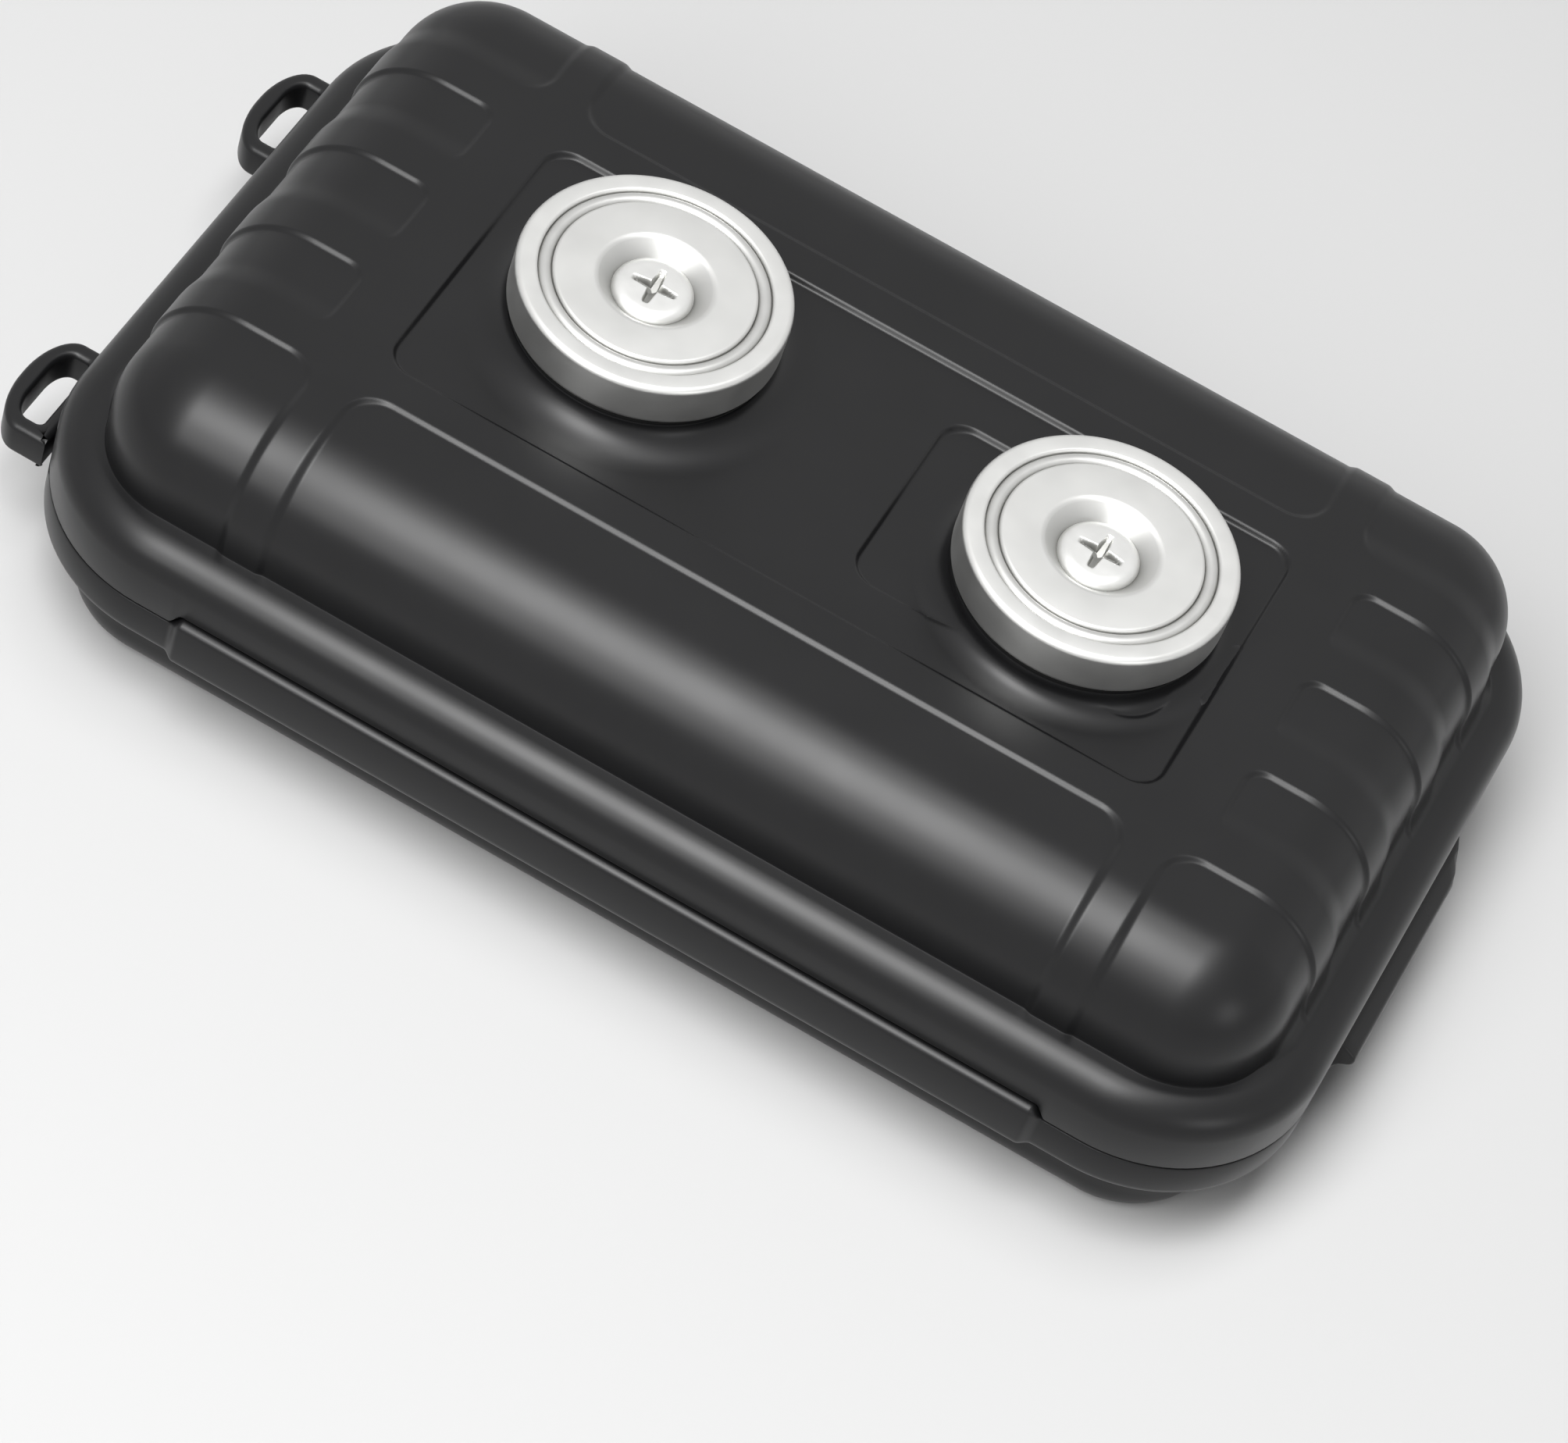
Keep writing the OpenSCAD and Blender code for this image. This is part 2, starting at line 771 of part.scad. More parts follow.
// Countersunk cross-recessed screw, from its head down
module screw() {
    cone_h = head_r - screw_d / 2;
    difference() {
        rotate_extrude()
            polygon([
                [0, -screw_l],
                [screw_d / 2 - tip_chamfer, -screw_l],
                [screw_d / 2, -screw_l + tip_chamfer],
                [screw_d / 2, -cone_h],
                [head_r, 0],
                [0, 0]
            ]);
        for (turn = [0, 90])
            rotate(turn)
                translate([-head_r * cross_share, -cross_w / 2, -cross_depth])
                    cube([2 * head_r * cross_share, cross_w, cross_depth + cut]);
    }
}

module rubber_pad() {
    difference() {
        cylinder(d = boss_d - 2 * pad_margin, h = pad_t);
        translate([0, 0, -cut])
            cylinder(d = screw_d + 2 * screw_clear, h = pad_t + 2 * cut);
    }
}

module washer() {
    difference() {
        cylinder(d = washer_d, h = washer_t);
        translate([0, 0, -cut])
            cylinder(d = screw_d + screw_clear, h = washer_t + 2 * cut);
    }
}

module nut() {
    difference() {
        cylinder(d = nut_af / cos(30), h = nut_h, $fn = 6);
        translate([0, 0, -cut])
            cylinder(d = screw_d + 2 * filler_gap, h = nut_h + 2 * cut);
    }
}

// One piece of a magnet's stack, at its height above the case's bottom
module magnet_piece(side, piece) {
    at_magnet(side) {
        if (piece == "magnet_cup")
            color([0.8, 0.8, 0.81])
                translate([0, 0, cup_z])
                    magnet_cup();
        if (piece == "filler_ring")
            color([0.72, 0.72, 0.73])
                translate([0, 0, cup_z])
                    filler_ring();
        if (piece == "magnet_ring")
            color([0.84, 0.84, 0.85])
                translate([0, 0, cup_z])
                    magnet_ring();
        if (piece == "screw")
            color([0.85, 0.85, 0.86])
                translate([0, 0, head_z])
                    screw();
        if (piece == "rubber_pad")
            color([0.04, 0.04, 0.04])
                translate([0, 0, boss_top_z])
                    rubber_pad();
        if (piece == "washer")
            color([0.7, 0.7, 0.71])
                translate([0, 0, roof_z - washer_t])
                    washer();
        if (piece == "nut")
            color([0.7, 0.7, 0.71])
                translate([0, 0, roof_z - washer_t - nut_h])
                    nut();
    }
}

base_shell();
rim_gasket();
hinge_pin();
latch_pin();
latch_lever();
lid_shell();
magnet_piece(-1, "magnet_cup");  // left_magnet_cup
magnet_piece(-1, "filler_ring");  // left_filler_ring
magnet_piece(-1, "magnet_ring");  // left_magnet_ring
magnet_piece(-1, "screw");  // left_screw
magnet_piece(-1, "rubber_pad");  // left_rubber_pad
magnet_piece(-1, "washer");  // left_washer
magnet_piece(-1, "nut");  // left_nut
magnet_piece(1, "magnet_cup");  // right_magnet_cup
magnet_piece(1, "filler_ring");  // right_filler_ring
magnet_piece(1, "magnet_ring");  // right_magnet_ring
magnet_piece(1, "screw");  // right_screw
magnet_piece(1, "rubber_pad");  // right_rubber_pad
magnet_piece(1, "washer");  // right_washer
magnet_piece(1, "nut");  // right_nut
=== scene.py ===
"""Magnetic key holder box: moulded case, gasket, flip latch, lanyard loops and two pot magnets.

Sizes are in millimetres in the row frame; piece() turns them to metres.
"""
import math

import bmesh
import bpy
import numpy as np
from mathutils import Matrix, Vector


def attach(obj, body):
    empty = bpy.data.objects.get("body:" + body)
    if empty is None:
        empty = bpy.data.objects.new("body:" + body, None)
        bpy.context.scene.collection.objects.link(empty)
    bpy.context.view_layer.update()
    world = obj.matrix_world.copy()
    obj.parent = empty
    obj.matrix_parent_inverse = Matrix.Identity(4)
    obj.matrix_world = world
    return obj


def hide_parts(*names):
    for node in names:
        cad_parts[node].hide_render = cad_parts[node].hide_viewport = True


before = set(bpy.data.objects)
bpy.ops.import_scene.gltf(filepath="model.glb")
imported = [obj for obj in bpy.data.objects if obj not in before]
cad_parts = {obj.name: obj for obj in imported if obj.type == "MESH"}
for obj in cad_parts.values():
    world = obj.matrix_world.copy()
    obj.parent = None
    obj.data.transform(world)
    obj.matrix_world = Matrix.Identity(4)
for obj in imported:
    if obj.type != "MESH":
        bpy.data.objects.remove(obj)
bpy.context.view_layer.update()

MM = 0.001

# ---- sizes, as in the CAD ----

CORNER = (48.5, 24.3)  # corner centre of the case body
FLANGE_CORNER = (47.0, 22.0)  # corner centre of both flanges
BODY_R = 9.5
FLANGE_R = 15.5
CAVITY_R = 6.9
WALL = 2.6
SEAM = 14.0
RIM = 13.9
LID_TOP = 33.5
TOP_EDGE_R = 8.5
BOTTOM_EDGE_R = 4.5
FLANGE_TOP = 21.3
FLANGE_EDGE_R = 3.2
BASE_FLANGE = 9.5
HINGE_RELIEF = 13.1
PANEL_STEP = 0.45
HINGE = (-60.6, 16.4)  # x and z of its axis
LATCH = (60.7, 8.6)  # x and z of its axis
KNUCKLES = ((-2.6, 2.6), (8.8, 13.0), (-13.0, -8.8))  # ends of the base's hinge knuckles in y
KNUCKLE_R = 1.8
LUG = (14.3, 17.3)  # ends of a latch lug in y
RAIL_END = 42.85  # |x| in the middle of the slope at each end of the base's side rails
ROOM = 0.2  # between the lid and the base's knuckles and rail ends
MAGNETS = {"left": (-21.635, 1.282), "right": (23.735, -0.382)}  # x and y of their axes
CUP_BOTTOM = 35.8
CUP_R = 12.5
CUP_INNER_R = 10.5
CUP_FLOOR = 1.2
CUP_H = 4.5
BORE_R = 2.2
MAGNET_R = 9.2


# ---- surfaces ----


def ramp(distance, width):
    """1 inside, 0 outside, and 3 s^2 - 2 s^3 over the given width across the edge."""
    s = np.clip(0.5 - distance / width, 0, 1)
    return s * s * (3 - 2 * s)


def either(mask, inside, outside):
    """Rows that follow "inside" where the mask is 1 and "outside" where it is 0."""
    inside, outside = [np.array(v, float).reshape(len(v), -1) for v in (inside, outside)]
    return outside + (inside - outside) * mask[None]


def fine_lines(low, high, spans, coarse, growth=0.25):
    """Grid lines from low to high. Each span is (start, end, spacing); away from the spans the
    spacing grows by growth times the distance, up to coarse. The lines divide the running sum of
    1 / spacing into equal parts of 1 or slightly less."""
    x = np.linspace(low, high, 20001)
    spacing = np.full_like(x, coarse)
    for start, end, step in spans:
        away = np.maximum(start - x, x - end).clip(0)
        spacing = np.minimum(spacing, step + growth * away)
    density = 1 / spacing
    total = np.concatenate([[0], np.cumsum((density[1:] + density[:-1]) / 2 * np.diff(x))])
    return np.interp(np.linspace(0, total[-1], int(math.ceil(total[-1])) + 1), total, x)


def case_ring(x_lines, y_lines, steps):
    """Closed line round the case, anticlockwise from the +X side, as an (n, 4) array: each point's
    share of the corner centre in x and y, and its outward direction in x and y."""
    sx, sy = x_lines / CORNER[0], y_lines / CORNER[1]
    one = np.ones_like
    sides = [
        np.stack([one(sy), sy, one(sy), 0 * sy], 1),
        np.stack([sx[::-1], one(sx), 0 * sx, one(sx)], 1),
        np.stack([-one(sy), sy[::-1], -one(sy), 0 * sy], 1),
        np.stack([sx, -one(sx), 0 * sx, -one(sx)], 1),
    ]
    turn = np.radians(np.linspace(0, 90, steps + 1)[1:-1])
    parts = []
    for k, (side, corner) in enumerate(zip(sides, [(1, 1), (-1, 1), (-1, -1), (1, -1)])):
        a = turn + k * math.pi / 2
        parts.append(side)
        parts.append(np.stack([corner[0] * one(a), corner[1] * one(a), np.cos(a), np.sin(a)], 1))
    return np.concatenate(parts)


def swept(ring, corner, r, z):
    """Profile carried round the case: point = (share x * corner x + r * direction x,
    share y * corner y + r * direction y, z). r and z are one number a row, or one a row and point."""
    r, z = [np.array(v, float).reshape(len(v), -1) for v in (r, z)]
    x = ring[:, 0] * corner[0] + ring[:, 2] * r
    y = ring[:, 1] * corner[1] + ring[:, 3] * r
    return np.stack([x, y, z + 0 * x], -1)


def grid_faces(n, m, close_n, close_m):
    """Quads between the lines of an n by m grid of points that are numbered row by row."""
    i = np.arange(n if close_n else n - 1)[:, None]
    j = np.arange(m if close_m else m - 1)[None, :]
    i2, j2 = (i + 1) % n, (j + 1) % m
    return np.stack([i * m + j, i2 * m + j, i2 * m + j2, i * m + j2], -1).reshape(-1, 4)


def surface(points, close_n=False, close_m=False, caps=()):
    """A grid of points as (points, quads, caps): a cap closes the first or the last row, 0 or -1."""
    n, m = points.shape[:2]
    rows = [list(range(m)) if c == 0 else list(range((n - 1) * m, n * m)) for c in caps]
    return points.reshape(-1, 3), grid_faces(n, m, close_n, close_m), rows


def revolved(profile, steps, axis, base=0.0, closed=True):
    """Profile of (radius, height) turned about the upright line through axis, from height base."""
    a = np.linspace(0, 2 * math.pi, steps, endpoint=False)[None, :]
    r, z = profile[:, :1], profile[:, 1:]
    points = np.stack([axis[0] + r * np.cos(a), axis[1] + r * np.sin(a), base + z + 0 * a], -1)
    return surface(points, closed, True)


def rounded(corners, radii, steps=5):
    """Closed outline with its corners V rounded: each is the arc from A, a radius before V, to B, a
    radius after it, as ((1-s)^2 A + 2 s (1-s) w V + s^2 B) / ((1-s)^2 + 2 s (1-s) w + s^2), where w
    is the cosine of half the turn."""
    v = np.array(corners, float)
    r = np.array(radii, float)[:, None] if np.ndim(radii) else float(radii)
    before, after = np.roll(v, 1, 0) - v, np.roll(v, -1, 0) - v
    lb, la = [np.linalg.norm(d, axis=1, keepdims=True) for d in (before, after)]
    before, after = before / lb, after / la
    a = v + before * np.minimum(r, lb * 0.49)
    b = v + after * np.minimum(r, la * 0.49)
    w = np.sqrt((1 - (before * after).sum(1)) / 2)[:, None, None]
    s = np.linspace(0, 1, steps)[None, :, None]
    near, mid, far = (1 - s) ** 2, 2 * s * (1 - s) * w, s ** 2
    curve = (near * a[:, None] + mid * v[:, None] + far * b[:, None]) / (near + mid + far)
    return curve.reshape(-1, 2)


def outward(outline):
    """Unit normals of a closed outline, pointing out of it."""
    t = np.roll(outline, -1, 0) - np.roll(outline, 1, 0)
    length = np.linalg.norm(t, axis=1, keepdims=True)
    n = np.stack([t[:, 1], -t[:, 0]], 1) / np.maximum(length, 1e-9)
    x, y = outline.T
    area = np.sum(x * np.roll(y, -1) - y * np.roll(x, -1))
    return n * np.sign(area)


def extruded(outline, y0, y1, edge, stations=1):
    """Outline in x and z carried along y from y0 to y1, its ends rounded: at the depth
    edge * (1 - cos a) from an end the outline is pulled in by edge * (1 - sin a)."""
    a = np.radians(np.linspace(0, 90, 5))
    depth, pull = edge * (1 - np.cos(a)), edge * (1 - np.sin(a))
    mid = np.linspace(y0 + edge, y1 - edge, stations + 1)[1:-1]
    y = np.concatenate([y0 + depth, mid, (y1 - depth)[::-1]])
    pull = np.concatenate([pull, 0 * mid, pull[::-1]])
    flat = outline[None] - outward(outline)[None] * pull[:, None, None]
    points = np.stack([flat[..., 0], np.broadcast_to(y[:, None], flat.shape[:2]), flat[..., 1]], -1)
    return surface(points, False, True, (0, -1))


def weld(points, quads, caps):
    """Merges points that coincide, and turns each quad that has lost a corner into a triangle."""
    found, same = np.unique(np.round(points, 4), axis=0, return_inverse=True)
    same = same.reshape(-1)
    q = same[quads]
    lost = q == np.roll(q, -1, 1)
    faces = q[lost.sum(1) == 0].tolist()
    for k in range(4):
        rest = [i for i in range(4) if i != k]
        faces += q[(lost.sum(1) == 1) & lost[:, k]][:, rest].tolist()
    for cap in caps:
        ids = same[cap]
        faces.append(ids[ids != np.roll(ids, 1)].tolist())
    return found, faces


CRISP_DEG = 38  # an edge sharper than this is kept crisp


def piece(name, surfaces, material, body, replaces=(), painted_recess_shade=None):
    """One object from closed surfaces in mm. The mask, if given, gives each point's share, 0 to 1,
    of the darker tone that paints shade into a recess."""
    points, quads, caps, start = [], [], [], 0
    for p, q, c in surfaces:
        points.append(p)
        quads.append(q + start)
        caps += [[i + start for i in cap] for cap in c]
        start += len(p)
    co, faces = weld(np.concatenate(points), np.concatenate(quads), caps)
    mesh = bpy.data.meshes.new(name)
    mesh.from_pydata((co * MM).tolist(), [], faces)
    bm = bmesh.new()
    bm.from_mesh(mesh)
    bmesh.ops.recalc_face_normals(bm, faces=bm.faces)
    bm.to_mesh(mesh)
    bm.free()
    mesh.shade_smooth()
    mesh.set_sharp_from_angle(angle=math.radians(CRISP_DEG))
    mesh.materials.append(material)
    # Each point's share of the painted shade, stored as a point attribute
    if painted_recess_shade:
        mesh.attributes.new("painted_recess_shade", "FLOAT", "POINT").data.foreach_set("value", painted_recess_shade(co))
    obj = bpy.data.objects.new(name, mesh)
    bpy.context.scene.collection.objects.link(obj)
    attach(obj, body)
    if replaces:
        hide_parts(*replaces)


# ---- materials ----


def srgb(code):
    """Linear RGBA of an sRGB hex colour."""
    v = [int(code[i:i + 2], 16) / 255 for i in (1, 3, 5)]
    return [c / 12.92 if c <= 0.04045 else ((c + 0.055) / 1.055) ** 2.4 for c in v] + [1.0]


def add(tree, kind, inputs, **settings):
    """Adds a node with its settings. An input is given a value, or a socket that it is linked to."""
    n = tree.nodes.new(kind)
    for key, value in settings.items():
        setattr(n, key, value)
    for key, value in inputs.items():
        if isinstance(value, bpy.types.NodeSocket):
            tree.links.new(value, n.inputs[key])
        else:
            n.inputs[key].default_value = value
    return n


def finish(name, dark, light, rough, patch_mm, grain_mm, grain_depth_mm, painted_recess_shade=None, **shader):
    """A material on Object coordinates: patches between two tones and two roughnesses, and a fine
    grain in relief. A noise scale is 1 / size, in metres. The darker tone, if given, is painted
    shade:
    the piece's own attribute of the same name fades the colour to it in a recess."""
    material = bpy.data.materials.new(name)
    material.use_nodes = True
    tree = material.node_tree
    tree.nodes.clear()
    place = add(tree, "ShaderNodeTexCoord", {}).outputs["Object"]
    patch = add(tree, "ShaderNodeTexNoise", {
        "Vector": place, "Scale": 1 / (patch_mm * MM), "Detail": 4.0,
    })
    tone = add(tree, "ShaderNodeMix", {
        "Factor": patch.outputs["Fac"], 6: srgb(dark), 7: srgb(light),
    }, data_type="RGBA")
    gloss = add(tree, "ShaderNodeMapRange", {
        "Value": patch.outputs["Fac"], "From Min": 0.3, "From Max": 0.7,
        "To Min": rough[0], "To Max": rough[1],
    })
    grain = add(tree, "ShaderNodeTexNoise", {
        "Vector": place, "Scale": 1 / (grain_mm * MM), "Detail": 2.0,
    })
    relief = add(tree, "ShaderNodeBump", {
        "Height": grain.outputs["Fac"], "Distance": grain_depth_mm * MM, "Strength": 1.0,
    })
    # Painted shade: the colour fades to the darker tone where the attribute is 1, in a recess
    if painted_recess_shade:
        share = add(tree, "ShaderNodeAttribute", {}, attribute_name="painted_recess_shade")
        tone = add(tree, "ShaderNodeMix", {
            "Factor": share.outputs["Fac"], 6: tone.outputs[2], 7: srgb(painted_recess_shade),
        }, data_type="RGBA")
    coat = add(tree, "ShaderNodeBsdfPrincipled", {
        "Base Color": tone.outputs[2], "Roughness": gloss.outputs["Result"],
        "Normal": relief.outputs["Normal"], **shader,
    })
    add(tree, "ShaderNodeOutputMaterial", {"Surface": coat.outputs["BSDF"]})
    return material


# The real grain of all of these is 0.1 mm or finer, and is drawn at 0.25 to 0.4 mm so that it shows

# Black ABS, injection moulded in a spark-eroded tool: satin, with a faint even grain
abs_moulded = finish(
    "ABS_black_moulded_satin", "#0f0f10", "#131314", (0.32, 0.36), 9, 0.35, 0.0012,
    **{"Specular IOR Level": 0.3},
)
# Black acetal, moulded in a smoother tool: a little glossier than the case
acetal_moulded = finish(
    "acetal_black_moulded", "#0e0e0f", "#121213", (0.27, 0.32), 7, 0.4, 0.001,
    **{"Specular IOR Level": 0.32},
)
# Silicone rubber, moulded: matt and dark
rubber_moulded = finish(
    "silicone_rubber_black", "#121212", "#161616", (0.62, 0.72), 5, 0.3, 0.006,
    **{"Specular IOR Level": 0.25},
)
# Nickel plate on a drawn and tumbled steel cup: satin, with faint clouds in the plating
cup_nickel = finish(
    "nickel_plate_on_drawn_steel", "#d0d0ce", "#dadad8", (0.38, 0.42), 3, 0.3, 0.0004,
    Metallic=1.0,
)
# The same plate on a pressed filler ring, which is a little greyer
filler_nickel = finish(
    "nickel_plate_on_pressed_ring", "#bebebc", "#c8c8c6", (0.40, 0.44), 2, 0.3, 0.0004,
    Metallic=1.0,
)
# Nickel plate on sintered magnet: satin, because the ground face under it is porous; the countersink
# and the bore are painted a darker tone, as shade in the recess
magnet_nickel = finish(
    "nickel_plate_on_sintered_magnet", "#cacac8", "#d2d2d0", (0.42, 0.46), 4, 0.25, 0.0004,
    painted_recess_shade="#6e6e6c", Metallic=1.0,
)
# Nickel-plated steel screw, cold headed; its cross recess is painted a darker tone, as shade
screw_nickel = finish(
    "nickel_plate_on_headed_screw", "#dededc", "#e8e8e6", (0.34, 0.38), 1.5, 0.3, 0.0004,
    painted_recess_shade="#92928f", Metallic=1.0,
)
# Zinc-plated steel pins, nuts and washers: bluish and slightly dull
zinc_steel = finish(
    "zinc_plate_on_turned_steel", "#a9adb0", "#bcc0c3", (0.30, 0.42), 1.5, 0.3, 0.002,
    Metallic=1.0,
)

# ---- lid ----

# The lid's relief. A flute, lobe or side panel starts at the given |x| and |y| and runs on past the
# edge of the lid
RELIEF = 0.28  # its depth on the flat top; it grows to 0.4 down the ends
EDGE = 0.56  # width of the rounded steps round the flutes, lobes and side panels
PANEL_EDGE = 0.5  # width of the steps round the two shallow panels
SOFT = 0.95  # width of the steps across the rolled edge of the long sides
RUN_DOWN = 3.2  # width of the slope from a rib down into the flute on its +Y side
FLUTE_MIDDLES = (-12, 0, 12)
FLUTE_HALF = 4
FLUTE_X = 44.2
FLUTE_CORNER = 1.8
LOBE = (42, 20)
LOBE_CORNER = 3.2  # of the side panels too
SIDE_PANEL_HALF = 38
PANEL = (38, 16)  # half length and half width
PANEL_CORNER = 2.6
RIGHT_PANEL = (14.75, 10.75)  # half length and half width
RIGHT_PANEL_X = 20.35
COVERED_CORNER = 5.2  # of the right panel at +X and -Y, so that the standoff's foot covers it
FAR = 100  # half size that reaches past the edge of the lid


def rect_distance(x, y, cx, cy, hx, hy, r):
    """Distance outside a rectangle with round corners, negative inside it."""
    qx, qy = np.abs(x - cx) - hx + r, np.abs(y - cy) - hy + r
    return np.minimum(np.maximum(qx, qy), 0) + np.hypot(qx.clip(0), qy.clip(0)) - r


def relief_depth(x, y):
    """Depth of the flutes, corner lobes, side panels and shallow panels below the lid's form. Over
    the ends each recess slopes down from the rib on its -Y side and stops in a step at the next."""
    ax, ay = np.abs(x), np.abs(y)
    recess = 0
    for middle in FLUTE_MIDDLES:
        edge = rect_distance(ax, y, FLUTE_X + FAR, middle, FAR, FLUTE_HALF, FLUTE_CORNER)
        slope = ramp(middle - FLUTE_HALF + RUN_DOWN / 2 - y, RUN_DOWN)
        recess = recess + ramp(edge, EDGE) * slope
    # The steps get softer where |y| goes from 21.5 to 24.5, at the start of the rolled edge
    width = EDGE + (SOFT - EDGE) * ramp(23 - ay, 3)
    lobe = rect_distance(ax, ay, LOBE[0] + FAR, LOBE[1] + FAR, FAR, FAR, LOBE_CORNER)
    slope = np.where(y > 0, ramp(LOBE[1] + RUN_DOWN / 2 - y, RUN_DOWN), 1)
    recess = recess + ramp(lobe, width) * slope
    side_panel = rect_distance(x, ay, 0, LOBE[1] + FAR, SIDE_PANEL_HALF, FAR, LOBE_CORNER)
    recess = recess + ramp(side_panel, width)
    panel = rect_distance(x, y, 0, 0, *PANEL, PANEL_CORNER)
    corner = np.where((x > RIGHT_PANEL_X) & (y < 0), COVERED_CORNER, PANEL_CORNER)
    right_panel = rect_distance(x, y, RIGHT_PANEL_X, 0, *RIGHT_PANEL, corner)
    steps = ramp(panel, PANEL_EDGE) + ramp(right_panel, PANEL_EDGE)
    return RELIEF * recess + PANEL_STEP * steps


def about(values, reach, spacing):
    """Spans for fine_lines that reach to both sides of each value."""
    return [(v - reach, v + reach, spacing) for v in values]


def lid_grid():
    """Grid lines of the lid in x and y: close at each step of the relief, less so at its corners,
    and at the ends of the rail steps and of the knuckle slots, which lie on the flange."""
    to_body_x, to_body_y = CORNER[0] / FLANGE_CORNER[0], CORNER[1] / FLANGE_CORNER[1]
    near, arc = 0.12, 0.26
    flute_steps = [middle + FLUTE_HALF for middle in FLUTE_MIDDLES]
    right_start, right_end = RIGHT_PANEL_X - RIGHT_PANEL[0], RIGHT_PANEL_X + RIGHT_PANEL[0]

    x = about([FLUTE_X], 0.45, near) + about([LOBE[0], PANEL[0]], 0.5, near)
    x += about([(RAIL_END + ROOM) * to_body_x], 0.65 * to_body_x, 0.16)
    x += [(FLUTE_X, FLUTE_X + 2, arc), (LOBE[0], LOBE[0] + LOBE_CORNER, arc)]
    x += [(PANEL[0] - LOBE_CORNER, PANEL[0], arc)]
    x += [(-end, -start, spacing) for start, end, spacing in x]
    x += about([right_start, right_end], 0.35, near)
    x += [(right_start, right_start + 2.7, arc), (right_end - 2.6, right_end, arc)]

    y = about([-PANEL[1], -RIGHT_PANEL[1], RIGHT_PANEL[1]], 0.3, near)
    y += about([-LOBE[1], LOBE[1]] + flute_steps, 0.45, near)
    y += [(step - FLUTE_CORNER, step, arc) for step in flute_steps]
    corners = [
        (LOBE[1], LOBE[1] + LOBE_CORNER), (PANEL[1] - PANEL_CORNER, PANEL[1]),
        (RIGHT_PANEL[1] - PANEL_CORNER, RIGHT_PANEL[1]),
    ]
    for start, end in corners:
        y += [(start, end, arc), (-end, -start, arc)]
    for start, end in KNUCKLES:
        y += about([(start - ROOM) * to_body_y, (end + ROOM) * to_body_y], 0.1, near)
    coarse, growth = 2.4, 0.4
    x_lines = fine_lines(-CORNER[0], CORNER[0], x, coarse, growth)
    y_lines = fine_lines(-CORNER[1], CORNER[1], y, coarse, growth)
    return x_lines, y_lines


def lid_body(ring):
    """Outside of the lid above its flange: the rolled edge, a quarter of a circle, then the wall.
    At both ends the wall runs out into the flange along a quarter of an ellipse,
    run_out * (1 - cos t) across and drop * sin t down; on the long sides it has a small fillet
    instead. The relief is sunk along the surface's normal."""
    a = np.radians(np.linspace(0, 90, 21))
    t = np.radians(np.linspace(0, 90, 13))
    skirt_top, run_out = 25.0, 1.3
    drop = skirt_top - FLANGE_TOP
    wall_z = skirt_top - drop * np.sin(t)
    skirt = BODY_R + run_out * (1 - np.cos(t))
    plain = BODY_R + np.array([0] * 10 + [0.02, 0.06, 0.2])
    # 1 at the ends, 0 along the long sides, and between them where |y| is 22.3 to 27.3
    at_end = ramp(np.abs(ring[:, 1] * CORNER[1] + ring[:, 3] * BODY_R) - 24.8, 5)
    roll_r = BODY_R - TOP_EDGE_R + TOP_EDGE_R * np.sin(a)
    r = np.concatenate([[0], roll_r])[:, None] + 0 * at_end[None]
    r = np.concatenate([r, either(at_end, skirt, plain)])
    z = np.concatenate([[LID_TOP], LID_TOP - TOP_EDGE_R * (1 - np.cos(a)), wall_z])
    out = np.concatenate([[0], np.sin(a), np.ones(len(wall_z))])[:, None]
    up = np.concatenate([[1], np.cos(a), np.zeros(len(wall_z))])[:, None]
    body = swept(ring, CORNER, r, z)
    # The relief gets deeper down the ends, where it fades out over the skirt as t goes from 35 to
    # 85 degrees, and shallower down the long sides
    deeper, shallower = 0.43, 0.2
    down = 1 + (1 - up) * (deeper * ring[:, 2] ** 2 - shallower * ring[:, 3] ** 2)
    fade = np.concatenate([np.zeros(len(a) + 1), ramp(60 - np.degrees(t), 50)])[:, None]
    depth = relief_depth(body[..., 0], body[..., 1]) * down * (1 - at_end * fade)
    normal = np.stack([out * ring[:, 2], out * ring[:, 3], up + 0 * ring[:, 2]], -1)
    return body - normal * depth[..., None]


RAIL_SLOPE = 1.3  # length of the slope at the ends of the rails


def lid_rim(ring):
    """Underside of the lid's flange: stepped over the base's rails along the sides, and slotted
    over the base's knuckles, where it follows a tunnel round the hinge axis."""
    x = ring[:, 0] * FLANGE_CORNER[0]
    y = ring[:, 1] * FLANGE_CORNER[1]
    rail = (np.abs(ring[:, 3]) == 1) * ramp(np.abs(x) - RAIL_END - ROOM, RAIL_SLOPE)
    over_knuckle = sum(
        ramp(np.abs(y - (start + end) / 2) - (end - start) / 2 - ROOM, 0.2)
        for start, end in KNUCKLES
    )
    slot = (ring[:, 2] == -1) * over_knuckle
    plain_r = np.array([15.5, 15.43, 15.25, 14.8, 13.6, 12.4, 11.5, 11.45])
    r = either(rail, [15.5, 15.45, 14.57, 14.52, 13.6, 12.4, 11.5, 11.45], plain_r)
    z = either(rail, [15.65, 15.5, 15.5] + [SEAM] * 5, [14.3, 14.08] + [SEAM] * 6)
    tunnel_r = 2.1
    from_axis = FLANGE_CORNER[0] + plain_r + HINGE[0]
    tunnel = HINGE[1] + np.sqrt((tunnel_r ** 2 - from_axis ** 2).clip(0))
    tunnel[-1] = SEAM
    z = z + (tunnel[:, None] - z) * slot[None]
    return swept(ring, FLANGE_CORNER, r, z)


